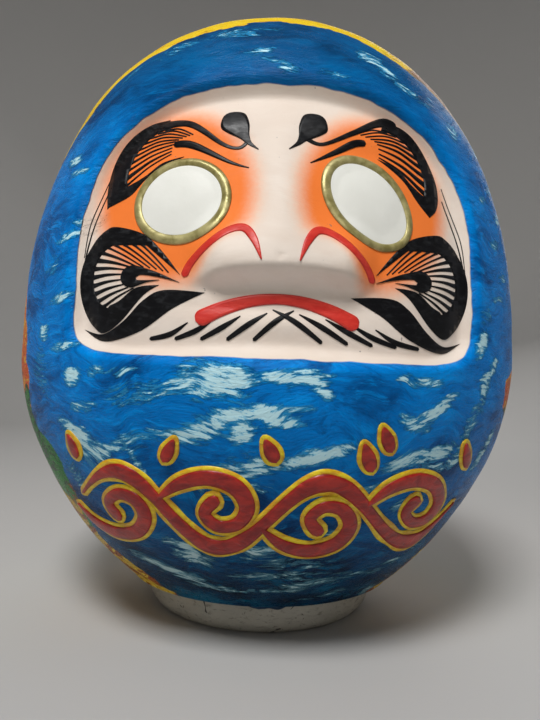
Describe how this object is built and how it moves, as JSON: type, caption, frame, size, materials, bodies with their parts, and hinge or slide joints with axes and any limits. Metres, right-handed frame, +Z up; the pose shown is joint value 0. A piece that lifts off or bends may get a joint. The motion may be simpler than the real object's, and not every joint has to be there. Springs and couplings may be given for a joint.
{
  "type": "daruma doll",
  "caption": "Rounded papier-mache doll with a sunken painted face, weighted at the foot so that it stands steady on a flat surface.",
  "frame": {"origin": "middle of the flat face that the doll stands on, on the body's axis", "axes": "+Z up through the crown, the face looks along -Y, +X is on the right of the face as seen from in front"},
  "size_m": [0.2652, 0.2639, 0.3126],
  "materials": {
    "front_paint": "semi-gloss",
    "back_paint": "semi-gloss",
    "seam_paint": "semi-gloss",
    "raw_paper": "matte",
    "clay": "matte",
    "glue": "satin",
    "chalk_white": "matte",
    "base_paper": "matte",
    "ink_black": "semi-gloss",
    "vermilion": "satin",
    "eye_white": "semi-gloss",
    "ring_gold": "metallic",
    "scroll_red": "semi-gloss",
    "scroll_yellow": "semi-gloss"
  },
  "bodies": {
    "root": {"front_shell": "front_paint", "back_shell": "back_paint", "seam_tape_outer": "seam_paint", "seam_tape_inner": "raw_paper", "clay_weight": "clay", "glue_bead": "glue", "foot_wrap": "chalk_white", "base_paper": "base_paper"}
  },
  "joints": []
}
